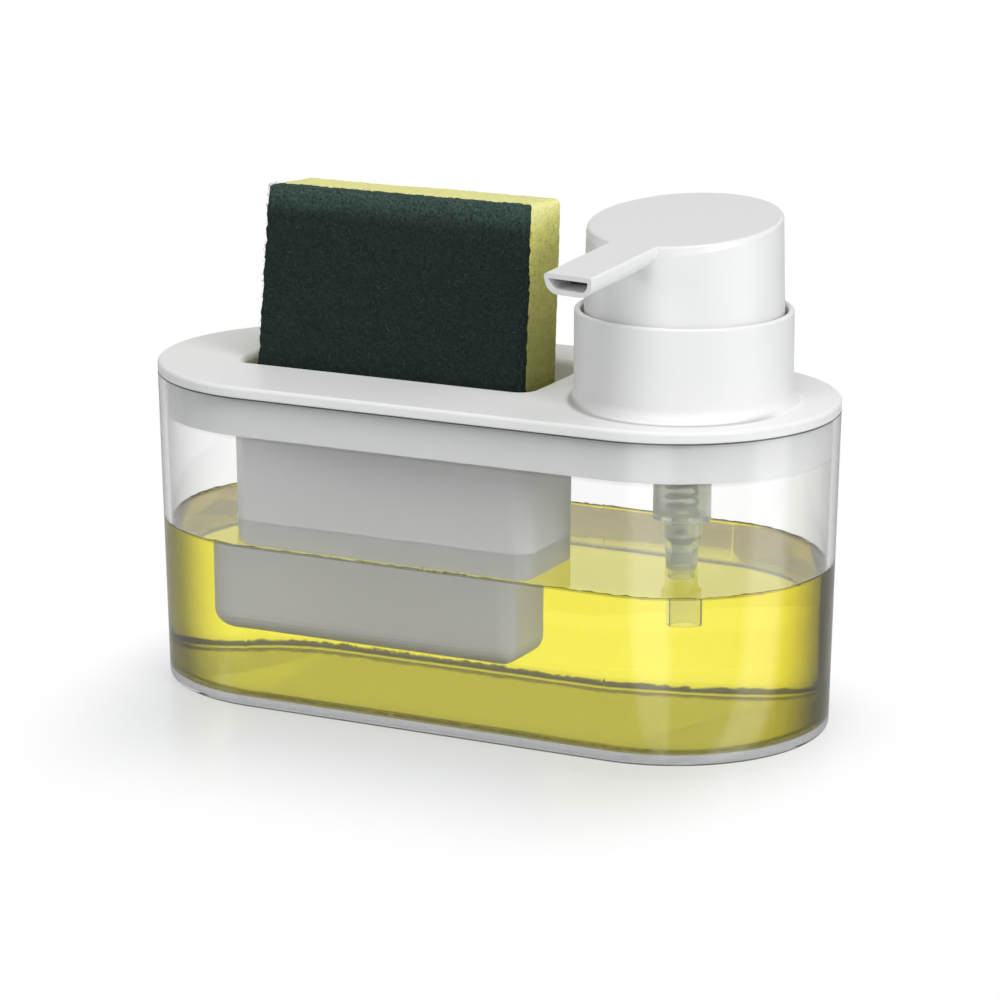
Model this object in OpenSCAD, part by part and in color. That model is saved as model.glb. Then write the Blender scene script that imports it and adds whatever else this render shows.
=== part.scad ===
// Soap pump caddy: a clear oval soap tank, a white lid with a sponge pocket and a
// round turret, a wide press-down pump head with a flat spout, and the sponge in its pocket.
// Millimetres. The origin is the centre of the tank's foot, +X runs along the tank
// towards the pump, -Y is the front and +Z is up.

/* [Tank] */
// Length of the tank across its rim
tank_l = 190; // [180:1:240]
// Width of the tank across its rim
tank_w = 86; // [84:1:120]
// Height of the tank's rim above the table
tank_h = 84; // [68:1:110]
// Wall thickness of the tank
tank_wall = 2; // [1.5:0.1:3]
// Thickness of the tank's floor
tank_floor = 2.5; // [1.5:0.1:4]
// How far each wall leans in between the rim and the foot
tank_draft = 1.7; // [0:0.1:3]
// Radius of the outer edge round the foot
tank_foot_r = 1.6; // [0.5:0.1:2.5]
// Radius of the inner edge round the floor
tank_floor_r = 3; // [1:0.1:5]

/* [Soap] */
// Height of the soap's surface above the table
soap_level = 42.2; // [30:0.2:60]

/* [Lid] */
// Thickness of the lid's plate
lid_t = 3; // [2:0.1:4]
// Radius of the lid's upper edge
lid_edge_r = 1; // [0.4:0.1:1.5]
// Radius of the lid's lower edge, which makes the fine seam above the tank's rim
lid_seam_r = 0.4; // [0.2:0.1:0.5]
// Depth of the skirt that centres the lid in the tank
skirt_depth = 10.5; // [6:0.5:16]
// Thickness of the skirt
skirt_t = 1.8; // [1.2:0.1:2.5]

/* [Sponge pocket] */
// Inside length of the pocket at the top
pocket_l = 86.2; // [85:0.2:90]
// Inside width of the pocket at the top, front to back
pocket_w = 27; // [25.6:0.2:30]
// Width of the finger recess behind the sponge
recess_w = 12.4; // [8:0.2:14]
// Depth of the finger recess below the lid's top
recess_depth = 8; // [7:0.2:9]
// Height of the pocket's floor above the table
pocket_floor_z = 17.5; // [8:0.5:28]
// Wall thickness of the pocket
pocket_wall = 1.8; // [1.2:0.1:2.5]
// Inside radius of the pocket's upright corners
pocket_corner_r = 3.8; // [3.6:0.1:4.4]
// How far each pocket wall leans in from the top to the floor
pocket_draft = 0.6; // [0.2:0.1:0.8]
// Radius of the pocket's rounded rim
pocket_rim_r = 1.8; // [0.8:0.1:2.5]
// Radius of the inner edge round the pocket's floor
pocket_floor_r = 3; // [1:0.2:3]
// Place of the pocket's middle along the tank
pocket_x = -25.85; // [-28:0.05:-23]
// Place of the pocket's middle, front to back
pocket_y = -1.3; // [-3:0.1:1]
// Height of the drain ribs that the sponge stands on
rib_h = 4.5; // [2:0.5:6]
// Thickness of a drain rib
rib_t = 2; // [1.2:0.1:3]
// Number of drain ribs
rib_n = 4; // [2:1:6]

/* [Sponge] */
// Width of the sponge at its top
sponge_w = 75; // [60:0.2:78]
// Width of the sponge at its foot, where it spreads in the pocket
sponge_foot_w = 80.8; // [60:0.2:83]
// Height of the sponge
sponge_h = 112.2; // [90:0.2:130]
// How far the sponge leans back above the lid, in degrees
sponge_lean = 3.8; // [0:0.2:6]
// Thickness of the yellow foam
foam_t = 18.4; // [10:0.2:20]
// Thickness of the green scouring pad
pad_t = 4.6; // [3:0.2:6]
// Gap between the sponge's front face and the pocket's front wall at the floor
sponge_front_gap = 1; // [0.9:0.1:1.5]
// Gap between the sponge's right face and the pocket's right wall at the floor
sponge_side_gap = 2.6; // [1.2:0.1:3]

/* [Turret] */
// Place of the pump's axis along the tank
pump_x = 56; // [52:0.5:58]
// Place of the pump's axis, front to back
pump_y = -3; // [-4:0.5:0]
// Outer radius of the round turret
turret_r = 28; // [26:0.5:30]
// Wall thickness of the turret
turret_wall = 1.6; // [1.2:0.1:1.8]
// Height of the turret above the lid's top
turret_h = 23.7; // [20:0.1:26]
// Radius of the hollow fillet round the turret's foot
turret_fillet = 3; // [1:0.5:4]
// Radius of the turret's rim
turret_rim_r = 0.7; // [0.3:0.1:0.7]

/* [Pump head] */
// Gap between the head and the turret's rim
head_gap = 0.7; // [0.6:0.1:1.6]
// How much smaller the head's radius is at its top than at its foot
head_taper = 0.9; // [0:0.1:1.5]
// Wall thickness of the head
head_wall = 1.8; // [1.2:0.1:2.2]
// Radius of the edge round the head's top
head_edge_r = 0.8; // [0.4:0.1:1]
// Height of the head's top above the turret's rim, on the pump's axis
head_rise = 22.7; // [21:0.1:30]
// How deep the head's skirt hangs in the turret
head_depth = 7; // [5:0.5:8]
// Slope of the head's flat top, down towards the spout, in degrees
head_tilt = 6.6; // [0:0.2:8]
// Direction of the spout, in degrees from +X
head_dir = -98.5; // [-120:0.5:-60]
// Reach of the spout's tip from the pump's axis
spout_reach = 53; // [45:1:65]
// Width of the spout
spout_w = 13.8; // [11:0.2:18]
// Depth of the spout
spout_d = 5.2; // [4.8:0.1:8]
// Wall thickness of the spout
spout_wall = 1.2; // [1:0.1:1.4]
// Radius of the spout's lower edges
spout_r = 3.6; // [2:0.1:4]
// Radius of the spout's upper edges
spout_edge_r = 0.6; // [0.2:0.1:0.8]

/* [Pump] */
// Travel of the pump head
stroke = 12; // [6:0.5:12]
// Outer radius of the pump housing
housing_r = 7.5; // [7.2:0.1:9]
// Wall thickness of the pump housing
housing_wall = 1.2; // [1:0.1:1.4]
// Depth of the housing's lower step below the lid's top
housing_drop = 31.5; // [29:0.5:34]
// Outer radius of the valve chamber's collar
valve_collar_r = 5.2; // [5:0.1:6]
// Radius of the suction valve ball
ball_r = 2.4; // [2.2:0.1:2.6]
// Outer radius of the hollow stem
stem_r = 4; // [3.8:0.1:4.4]
// Bore radius of the hollow stem
stem_bore_r = 2.4; // [2:0.1:2.6]
// Outer radius of the dip tube
tube_r = 3.5; // [3:0.1:3.8]
// Wall thickness of the dip tube
tube_wall = 0.8; // [0.6:0.1:1]
// Gap between the dip tube's end and the tank's floor
tube_floor_gap = 27.5; // [1.5:0.5:29]
// Radius of the closure nut
nut_r = 15; // [14.5:0.1:17]
// Outer radius of the neck that the closure nut screws on
neck_r = 12; // [11.8:0.1:12.6]
// Height of the neck above the lid's top
neck_h = 10; // [8:0.5:10]

/* [Return spring] */
// Number of turns
spring_turns = 7; // [5:1:8]
// Thickness of the wire
spring_wire = 0.9; // [0.6:0.1:1]
// Radius of the coil at the middle of the wire
spring_r = 4.2; // [3.6:0.1:4.4]

/* [Hidden] */

$fn = 96;
arc_steps = 6;
over = 1;

// Named clearances
soap_gap = 0.05;
immersed_gap = 0.4;
skirt_gap = 0.35;
seat_gap = 0.3;
run_gap = 0.05;
hair_gap = 0.02;

// Tank and lid, worked out from the driving sizes
straight_l = tank_l - tank_w;
rim_r = tank_w / 2;
lid_top = tank_h + lid_t;
skirt_foot = tank_h - skirt_depth;

// Pocket
pocket_depth = lid_top - pocket_floor_z;
pocket_a = pocket_l / 2 - pocket_corner_r;
pocket_b = pocket_w / 2 - pocket_corner_r;
mouth_b = pocket_b + recess_w / 2;
mouth_y = pocket_y + recess_w / 2;
recess_floor_z = lid_top - recess_depth;
recess_floor_r = 1.5;
pocket_foot_front = pocket_y - pocket_w / 2 + pocket_draft;
pocket_foot_right = pocket_x + pocket_l / 2 - pocket_draft;

// Sponge
sponge_z = pocket_floor_z + rib_h + seat_gap;
sponge_front = pocket_foot_front + sponge_front_gap;
sponge_right = pocket_foot_right - sponge_side_gap;

// Head and spout
turret_top = lid_top + turret_h;
head_foot_r = turret_r - turret_wall - head_gap;
head_top_r = head_foot_r - head_taper;
head_foot_z = turret_top - head_depth;
head_top_z = turret_top + head_rise;
head_tall = head_depth + head_rise + turret_wall + turret_r * tan(head_tilt);
spout_len = spout_reach / cos(head_tilt);
ceiling = spout_wall;

// Stack of the pump, from the lid's neck upwards
gasket_t = 1;
flange_t = 1.5;
nut_lip_t = 1.5;
neck_wall = 1.8;
neck_bore_r = neck_r - neck_wall;
flange_r = neck_r - seat_gap;
neck_top = lid_top + neck_h;
flange_z = neck_top + gasket_t;
cap_z = flange_z + flange_t;
nut_top = cap_z + flange_t + nut_lip_t;
nut_bore_r = 9;
nut_grip_n = 18;
nut_grip_t = 0.8;
cap_sleeve_l = 9.5;

// Housing, valve and tube, from the step downwards
bore_r = housing_r - housing_wall;
housing_step_z = lid_top - housing_drop;
step_floor_t = 1.5;
spring_seat_z = housing_step_z + step_floor_t;
valve_hole_r = 1.8;
chamber_r = ball_r + 2 * ball_r / 6;
collar_h = 5;
seat_cone_h = 2;
collar_foot_z = housing_step_z - collar_h;
seat_top_z = collar_foot_z + seat_cone_h / 4;
seat_foot_z = seat_top_z - seat_cone_h;
seat_slope = (chamber_r - valve_hole_r) / seat_cone_h;
ball_z = seat_foot_z + (ball_r * sqrt(1 + seat_slope * seat_slope) - valve_hole_r) / seat_slope + run_gap;
tail_wall = 0.9;
tail_lip = 0.4;
tail_r = tube_r + tail_wall;
socket_l = 8;
socket_top_z = seat_foot_z - seat_cone_h;
socket_foot_z = socket_top_z - socket_l;
tube_foot_z = tank_floor + tube_floor_gap;

// Plunger
spring_rest_l = 19;
rod_flange_t = 1.5;
rod_flange_r = spring_r + spring_wire;
rod_foot_z = spring_seat_z + spring_rest_l + hair_gap;
rod_r = 1.9;
piston_z = rod_foot_z + rod_flange_t + hair_gap;
piston_h = 8;
piston_r = bore_r - run_gap;
lip_h = 2.5;
lip_t = 0.8;
piston_waist = 0.6;
stem_foot_z = piston_z + piston_h + piston_waist;
plug_l = 7;
plug_t = 1.2;
socket_r = stem_r + head_wall / 1.5;
socket_foot = nut_top + stroke + flange_t;
stem_top_z = head_top_z - ceiling - spout_d;
duct_w = 7;
duct_wall = 0.7;
duct_inset = 6;
duct_d = spout_d - spout_wall - hair_gap;
duct_bore_d = duct_d - duct_wall;
duct_mid = (ceiling + duct_wall + duct_bore_d) / 2;

spring_rings = 8;
spring_sides = 6;

// Points of an arc about [x, z] with radius r, from angle a0 to a1
function arc(x, z, r, a0, a1) = [
    for (i = [0 : arc_steps])
        let (a = a0 + (a1 - a0) * i / arc_steps) [x + r * cos(a), z + r * sin(a)]
];

// Outer and inner radius of the tank's wall at height z
function wall_r(z) = rim_r - tank_draft * (1 - z / tank_h);
function cavity_r(z) = wall_r(z) - tank_wall;

// Lower part of a cavity's outline, from the axis to the wall at height z1
function cavity_outline(gap, z1) =
    let (z0 = tank_floor + gap, r0 = cavity_r(z0) - gap, e = tank_floor_r)
    concat([[0, z0]], arc(r0 - e, z0 + e, e, -90, 0), [[cavity_r(z1) - gap, z1], [0, z1]]);

// Offset from the pocket's corner axis of its inside wall at height z
function pocket_off(z) = pocket_corner_r - pocket_draft * (lid_top - z) / pocket_depth;

// A flat-sided oval: the outline p, from the axis outwards, turned at both ends and run between
module oval(p, s) {
    mirrored = [for (i = [len(p) - 1 : -1 : 0]) if (p[i][0] > 0) [-p[i][0], p[i][1]]];
    for (m = [0, 1])
        mirror([m, 0, 0])
            translate([s / 2, 0, 0])
                rotate([0, 0, -90])
                    rotate_extrude(angle = 180) polygon(p);
    translate([-s / 2, 0, 0])
        rotate([90, 0, 90])
            linear_extrude(height = s) polygon(concat(p, mirrored));
}

// The same oval for a closed band that stays clear of the axis
module oval_band(p, s) {
    for (m = [0, 1]) {
        mirror([m, 0, 0])
            translate([s / 2, 0, 0])
                rotate([0, 0, -90])
                    rotate_extrude(angle = 180) polygon(p);
        mirror([0, m, 0])
            translate([-s / 2, 0, 0])
                rotate([90, 0, 90])
                    linear_extrude(height = s) polygon(p);
    }
}

// A rounded box: the outline p turned at four corner axes at +-a, +-b and run between them
module rounded_box(p, a, b) {
    back = [for (i = [len(p) - 1 : -1 : 0]) p[i]];
    for (i = [0 : 3])
        translate([(i == 0 || i == 3 ? 1 : -1) * a, (i < 2 ? 1 : -1) * b, 0])
            rotate([0, 0, 90 * i])
                rotate_extrude(angle = 90) polygon(p);
    translate([-a, 0, 0])
        rotate([90, 0, 90])
            linear_extrude(height = 2 * a)
                polygon(concat([for (q = p) [b + q[0], q[1]]], [for (q = back) [-b - q[0], q[1]]]));
    translate([0, b, 0])
        rotate([90, 0, 0])
            linear_extrude(height = 2 * b)
                polygon(concat([for (q = p) [a + q[0], q[1]]], [for (q = back) [-a - q[0], q[1]]]));
}

// The outline p as the pocket, and as its mouth, which the finger recess makes wider at the back
module pocket_box(p) {
    translate([pocket_x, pocket_y, 0]) rounded_box(p, pocket_a, pocket_b);
}

module mouth_box(p) {
    translate([pocket_x, mouth_y, 0]) rounded_box(p, pocket_a, mouth_b);
}

// Places what follows on the pump's axis at height z
module on_pump(z) {
    translate([pump_x, pump_y, z]) children();
}

// Places what follows on the head's sloping top, with x towards the spout's tip
module on_head_top() {
    translate([pump_x, pump_y, head_top_z])
        rotate([0, 0, head_dir])
            rotate([0, head_tilt, 0]) children();
}

module tank() {
    outer = concat(
        [[0, 0]],
        arc(wall_r(0) - tank_foot_r, tank_foot_r, tank_foot_r, -90, 0),
        [[rim_r, tank_h], [0, tank_h]]
    );
    color([0.85, 0.9, 0.9, 0.35])
        difference() {
            oval(outer, straight_l);
            oval(cavity_outline(0, tank_h + over), straight_l);
        }
}

module soap() {
    color([0.93, 0.88, 0.2, 0.8])
        difference() {
            oval(cavity_outline(soap_gap, soap_level), straight_l);
            pocket_box(pocket_outside(immersed_gap, lid_top, pocket_floor_z, pocket_floor_r));
            on_pump(tube_foot_z - immersed_gap) cylinder(h = soap_level, r = tube_r + immersed_gap);
            on_pump(socket_foot_z - immersed_gap) cylinder(h = soap_level, r = tail_r + immersed_gap);
            on_pump(collar_foot_z - immersed_gap) cylinder(h = soap_level, r = valve_collar_r + immersed_gap);
            on_pump(housing_step_z - immersed_gap) cylinder(h = soap_level, r = housing_r + immersed_gap);
        }
}

// Outline of the pocket's outer skin, grown by gap, up to height z1; the floor inside is at floor_z
function pocket_outside(gap, z1, floor_z, floor_r) =
    let (
        z0 = floor_z - pocket_wall - gap,
        g = pocket_wall + gap,
        r0 = pocket_off(floor_z) + g,
        e = floor_r + g
    )
    concat([[0, z0]], arc(r0 - e, z0 + e, e, -90, 0), [[pocket_off(z1) + g, z1], [0, z1]]);

// Outline of the inside above a floor at floor_z, with the floor's edge and the rounded rim
function pocket_inside(floor_z, floor_r) =
    let (
        z0 = floor_z,
        r0 = pocket_off(z0),
        r1 = pocket_off(lid_top - pocket_rim_r),
        e = floor_r
    )
    concat(
        [[0, z0]],
        arc(r0 - e, z0 + e, e, -90, 0),
        arc(r1 + pocket_rim_r, lid_top - pocket_rim_r, pocket_rim_r, 180, 90),
        [[r1 + pocket_rim_r, lid_top + over], [0, lid_top + over]]
    );

module lid_plate() {
    plate = concat(
        [[0, tank_h]],
        arc(rim_r - lid_seam_r, tank_h + lid_seam_r, lid_seam_r, -90, 0),
        arc(rim_r - lid_edge_r, lid_top - lid_edge_r, lid_edge_r, 0, 90),
        [[0, lid_top]]
    );
    skirt_head = tank_h + lid_t / 2;
    skirt = [
        [cavity_r(skirt_head) - skirt_gap, skirt_head],
        [cavity_r(skirt_head) - skirt_gap - skirt_t, skirt_head],
        [cavity_r(skirt_foot) - skirt_gap - skirt_t, skirt_foot],
        [cavity_r(skirt_foot) - skirt_gap, skirt_foot]
    ];
    oval(plate, straight_l);
    oval_band(skirt, straight_l);
}

module turret() {
    inner_r = turret_r - turret_wall;
    wall = concat(
        [[inner_r, lid_top - lid_t / 2]],
        arc(inner_r + turret_rim_r, turret_top - turret_rim_r, turret_rim_r, 180, 90),
        arc(turret_r - turret_rim_r, turret_top - turret_rim_r, turret_rim_r, 90, 0),
        arc(turret_r + turret_fillet, lid_top + turret_fillet, turret_fillet, 180, 270),
        [[turret_r + turret_fillet, lid_top - lid_t / 2]]
    );
    on_pump(0) rotate_extrude() polygon(wall);
    on_pump(tank_h) cylinder(h = lid_t + neck_h, r = neck_r);
}

module drain_ribs() {
    rib_w = pocket_w - 2 * pocket_draft;
    pitch = (pocket_l - 2 * pocket_draft) / (rib_n + 1);
    for (i = [1 : rib_n])
        translate([
            pocket_x - pocket_l / 2 + pocket_draft + pitch * i - rib_t / 2,
            pocket_y - rib_w / 2,
            pocket_floor_z - pocket_wall / 2
        ])
            cube([rib_t, rib_w, rib_h + pocket_wall / 2]);
}

module lid() {
    color("white") {
        difference() {
            union() {
                lid_plate();
                turret();
                pocket_box(pocket_outside(0, lid_top - lid_t / 2, pocket_floor_z, pocket_floor_r));
                mouth_box(pocket_outside(0, lid_top - lid_t / 2, recess_floor_z, recess_floor_r));
            }
            pocket_box(pocket_inside(pocket_floor_z, pocket_floor_r));
            mouth_box(pocket_inside(recess_floor_z, recess_floor_r));
            on_pump(tank_h - over) cylinder(h = lid_t + neck_h + 2 * over, r = neck_bore_r);
        }
        drain_ribs();
    }
}

module closure_nut() {
    foot = lid_top + seat_gap;
    grip_h = nut_top - foot - nut_lip_t;
    color("gainsboro")
        difference() {
            union() {
                on_pump(foot) cylinder(h = nut_top - foot, r = nut_r - nut_grip_t);
                for (i = [0 : nut_grip_n - 1])
                    on_pump(foot)
                        rotate([0, 0, 360 / nut_grip_n * i])
                            translate([0, -nut_grip_t, 0]) cube([nut_r, 2 * nut_grip_t, grip_h]);
            }
            on_pump(foot - over) cylinder(h = nut_top - foot - nut_lip_t + over, r = neck_r + run_gap);
            on_pump(foot) cylinder(h = nut_top, r = nut_bore_r);
        }
}

module pump_gasket() {
    color("silver")
        difference() {
            on_pump(neck_top) cylinder(h = gasket_t, r = flange_r);
            on_pump(neck_top - over) cylinder(h = gasket_t + 2 * over, r = housing_r + seat_gap);
        }
}

module pump_housing() {
    barrel_h = flange_z - housing_step_z;
    color([0.92, 0.94, 0.94, 0.6])
        difference() {
            union() {
                on_pump(flange_z) cylinder(h = flange_t, r = flange_r);
                on_pump(housing_step_z) cylinder(h = barrel_h + flange_t / 2, r = housing_r);
                on_pump(collar_foot_z) cylinder(h = collar_h + step_floor_t / 2, r = valve_collar_r);
                on_pump(socket_foot_z)
                    cylinder(h = collar_foot_z - socket_foot_z, r1 = tube_r + tail_lip, r2 = tail_r);
                on_pump(collar_foot_z - step_floor_t) cylinder(h = 2 * step_floor_t, r = tail_r);
            }
            on_pump(spring_seat_z) cylinder(h = barrel_h + 2 * flange_t, r = bore_r);
            on_pump(collar_foot_z) cylinder(h = collar_h + 2 * step_floor_t, r = valve_hole_r);
            on_pump(seat_top_z) cylinder(h = housing_step_z - seat_top_z, r = chamber_r);
            on_pump(seat_foot_z) cylinder(h = seat_cone_h, r1 = valve_hole_r, r2 = chamber_r);
            on_pump(socket_foot_z)
                cylinder(h = seat_foot_z - socket_foot_z + seat_cone_h / 2, r = valve_hole_r);
            on_pump(socket_foot_z - over) cylinder(h = socket_l + over, r = tube_r + hair_gap);
        }
}

module housing_cap() {
    color("white")
        difference() {
            union() {
                on_pump(cap_z) cylinder(h = flange_t, r = flange_r);
                on_pump(cap_z - cap_sleeve_l)
                    cylinder(h = cap_sleeve_l + flange_t / 2, r = bore_r - hair_gap);
            }
            on_pump(cap_z - cap_sleeve_l - over)
                cylinder(h = cap_sleeve_l + flange_t + 2 * over, r = stem_r + run_gap);
        }
}

module valve_ball() {
    color("lightgrey") on_pump(ball_z) sphere(r = ball_r);
}

// Middle of the wire at step i, and the least gap between one turn and the next
spring_steps = spring_turns * spring_rings;
spring_rise = spring_rest_l - spring_wire;
function spring_mid(i) =
    let (a = 360 * i / spring_rings)
    [spring_r * cos(a), spring_r * sin(a), spring_wire / 2 + spring_rise * i / spring_steps];
turn_gaps = [for (i = [0 : spring_steps - spring_rings]) norm(spring_mid(i + spring_rings) - spring_mid(i))];
spring_gap = min(turn_gaps) - spring_wire;
echo(str("return spring: least gap between turns ", spring_gap, " mm"));

module return_spring() {
    points = [
        for (i = [0 : spring_steps])
            for (j = [0 : spring_sides - 1])
                let (
                    a = 360 * i / spring_rings,
                    b = 360 * j / spring_sides,
                    r = spring_r + spring_wire / 2 * cos(b),
                    m = spring_mid(i)
                )
                [r * cos(a), r * sin(a), m[2] + spring_wire / 2 * sin(b)]
    ];
    last = spring_steps * spring_sides;
    sides = [
        for (i = [0 : spring_steps - 1])
            for (j = [0 : spring_sides - 1])
                let (p = i * spring_sides + j, q = i * spring_sides + (j + 1) % spring_sides)
                each [[p, q, q + spring_sides], [p, q + spring_sides, p + spring_sides]]
    ];
    ends = [
        for (j = [1 : spring_sides - 2])
            each [[0, j + 1, j], [last, last + j, last + j + 1]]
    ];
    color("silver") on_pump(spring_seat_z) polyhedron(points = points, faces = concat(sides, ends));
}

module dip_tube() {
    tube_l = socket_top_z - tube_foot_z;
    color([0.93, 0.95, 0.95, 0.6])
        difference() {
            on_pump(tube_foot_z) cylinder(h = tube_l, r = tube_r);
            on_pump(tube_foot_z - over) cylinder(h = tube_l + 2 * over, r = tube_r - tube_wall);
        }
}

module piston() {
    half = [
        [rod_r + run_gap, 0],
        [piston_r - lip_t, 0],
        [piston_r, 0],
        [piston_r, lip_h],
        [piston_r - piston_waist, lip_h],
        [piston_r - piston_waist, piston_h - lip_h],
        [piston_r, piston_h - lip_h],
        [piston_r, piston_h],
        [piston_r - lip_t, piston_h],
        [piston_r - 2 * lip_t, piston_h - lip_h / 2],
        [rod_r + lip_t, piston_h - lip_h / 2],
        [rod_r + run_gap, piston_h]
    ];
    color("whitesmoke") on_pump(piston_z) rotate_extrude() polygon(half);
}

module piston_rod() {
    rod_l = stem_foot_z - rod_foot_z;
    color("whitesmoke") {
        on_pump(rod_foot_z) cylinder(h = rod_flange_t, r = rod_flange_r);
        on_pump(rod_foot_z) cylinder(h = rod_l, r = rod_r);
        for (a = [0, 90])
            on_pump(stem_foot_z - rod_flange_t / 2)
                rotate([0, 0, a])
                    translate([hair_gap - rod_r, -plug_t / 2, 0])
                        cube([2 * (rod_r - hair_gap), plug_t, plug_l]);
        on_pump(stem_foot_z + rod_flange_t)
            difference() {
                cylinder(h = plug_t, r = stem_bore_r - hair_gap);
                for (m = [-1, 1])
                    translate([m * stem_bore_r, 0, -over]) cylinder(h = plug_t + 2 * over, r = plug_t);
            }
    }
}

module stem() {
    stem_l = stem_top_z - stem_foot_z;
    color("whitesmoke")
        difference() {
            on_pump(stem_foot_z) cylinder(h = stem_l, r = stem_r);
            on_pump(stem_foot_z - over) cylinder(h = stem_l + 2 * over, r = stem_bore_r);
        }
}

// A spout's section: width w, depth d below 0, lower edges of radius r
function trough(w, d, r, top) = concat(
    [[-w / 2, top]],
    arc(r - w / 2, r - d, r, 180, 270),
    arc(w / 2 - r, r - d, r, 270, 360),
    [[w / 2, top]]
);

// The spout's outer section, with its upper edges rounded as well
function spout_section(w, d, r, e) = concat(
    arc(r - w / 2, r - d, r, 180, 270),
    arc(w / 2 - r, r - d, r, 270, 360),
    arc(w / 2 - e, -e, e, 0, 90),
    arc(e - w / 2, -e, e, 90, 180)
);

// The head's outer or inner cone, cut off along the sloping top, drop below it
module head_cone(inset, drop) {
    difference() {
        on_pump(head_foot_z - (inset > 0 ? over : 0))
            cylinder(h = head_tall, r1 = head_foot_r - inset, r2 = head_top_r - inset);
        on_head_top()
            translate([-turret_r, -turret_r, -drop]) cube(2 * [turret_r, turret_r, turret_r]);
    }
}

// A wide disc on the head's sloping top whose rounded edge shapes the head's
module head_edge() {
    r = head_top_r * (1 + 1 / cos(head_tilt)) / 2;
    e = head_edge_r;
    on_head_top()
        rotate_extrude()
            polygon(concat(
                [[0, -head_tall], [0, 0]],
                [for (q = arc(e - r, -e, e, 90, 180)) [-q[0], q[1]]],
                [[r + e, -e - 3 * e], [2 * r, -head_tall / 2], [2 * r, -head_tall]]
            ));
}

// A bar of section p laid along the spout from x0 to x1
module along_spout(p, x0, x1) {
    on_head_top()
        translate([x0, 0, 0])
            rotate([90, 0, 90])
                linear_extrude(height = x1 - x0) polygon(p);
}

module head_shell() {
    root = head_top_r - 2 * head_wall;
    hollow_w = spout_w - 2 * spout_wall;
    color("white")
        difference() {
            union() {
                intersection() {
                    head_cone(0, 0);
                    head_edge();
                }
                along_spout(spout_section(spout_w, spout_d, spout_r, spout_edge_r), root, spout_len);
            }
            head_cone(head_wall, ceiling);
            along_spout(
                trough(hollow_w, spout_d - spout_wall, spout_r - spout_wall, -ceiling),
                root,
                spout_len + over
            );
        }
}

module nozzle_duct() {
    duct_top = -ceiling - hair_gap;
    duct_r = duct_wall;
    color("whitesmoke")
        difference() {
            union() {
                difference() {
                    on_pump(socket_foot) cylinder(h = head_top_z - socket_foot, r = socket_r);
                    on_head_top()
                        translate([-turret_r, -turret_r, duct_top]) cube(2 * [turret_r, turret_r, turret_r]);
                }
                along_spout(trough(duct_w, duct_d, duct_r, duct_top), 0, spout_len - duct_inset);
            }
            on_pump(socket_foot - over) cylinder(h = stem_top_z - socket_foot + over, r = stem_r + hair_gap);
            on_pump(socket_foot) cylinder(h = head_top_z - duct_mid - socket_foot, r = stem_bore_r);
            along_spout(
                trough(duct_w - 2 * duct_wall, duct_bore_d, duct_wall / 2, duct_top - duct_wall),
                0,
                spout_len
            );
        }
}

// One layer of the sponge between two depths from its front face: upright in the pocket and
// leaning back above the lid, its left edge leaning in
module sponge_layer(near, far) {
    depth = pad_t + foam_t;
    left = sponge_right - sponge_foot_w;
    lean_in = (sponge_foot_w - sponge_w) / sponge_h;
    turn = tan(sponge_lean / 2);
    rise = sponge_h - (lid_top - sponge_z);
    back = sin(sponge_lean);
    up = cos(sponge_lean);
    front_view = [
        [left - over * lean_in, -over],
        [sponge_right, -over],
        [sponge_right, sponge_h + over],
        [left + (sponge_h + over) * lean_in, sponge_h + over]
    ];
    side_view = [
        [near, sponge_z],
        [far, sponge_z],
        [far, lid_top - far * turn],
        [far * up + rise * back, lid_top - far * back + rise * up],
        [near * up + rise * back, lid_top - near * back + rise * up],
        [near, lid_top - near * turn]
    ];
    intersection() {
        translate([0, sponge_front + 2 * depth, sponge_z])
            rotate([90, 0, 0])
                linear_extrude(height = 3 * depth) polygon(front_view);
        translate([left - over, sponge_front, 0])
            rotate([90, 0, 90])
                linear_extrude(height = sponge_foot_w + 2 * over) polygon(side_view);
    }
}

module sponge_foam() {
    color("khaki") sponge_layer(pad_t, pad_t + foam_t);
}

module scour_pad() {
    color("darkslategrey") sponge_layer(0, pad_t);
}

tank();
soap();
lid();
closure_nut();
pump_gasket();
pump_housing();
housing_cap();
valve_ball();
return_spring();
dip_tube();
piston();
piston_rod();
stem();
nozzle_duct();
head_shell();
sponge_foam();
scour_pad();
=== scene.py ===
"""Looks of a soap pump caddy: a clear oval tank of yellow soap under a white lid, with a
press-down pump head and a two-layer sponge in its pocket. Lengths are metres in the frame of the
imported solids: the origin is the centre of the tank's foot, +X runs towards the pump, -Y is the
front, +Z is up."""

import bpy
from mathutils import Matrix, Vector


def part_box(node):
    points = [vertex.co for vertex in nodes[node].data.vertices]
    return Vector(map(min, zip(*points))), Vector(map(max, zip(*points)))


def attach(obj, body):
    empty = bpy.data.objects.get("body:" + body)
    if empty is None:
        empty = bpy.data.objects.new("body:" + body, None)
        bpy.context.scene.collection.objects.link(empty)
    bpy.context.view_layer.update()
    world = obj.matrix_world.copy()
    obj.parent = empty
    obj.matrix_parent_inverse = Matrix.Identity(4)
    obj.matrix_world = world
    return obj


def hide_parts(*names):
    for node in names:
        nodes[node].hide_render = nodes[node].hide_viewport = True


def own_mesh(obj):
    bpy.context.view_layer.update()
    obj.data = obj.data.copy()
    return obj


bl_info = {
    "name": "Soap pump caddy",
    "version": (1, 0, 0),
    "blender": (4, 5, 0),
    "location": "3D View > Sidebar > Caddy",
    "description": "Builds the tank, soap, lid, pump and sponge of a soap pump caddy",
    "category": "Add Mesh",
}

import math
import random

import bmesh
import bpy
from mathutils import Matrix, Vector, noise

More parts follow.
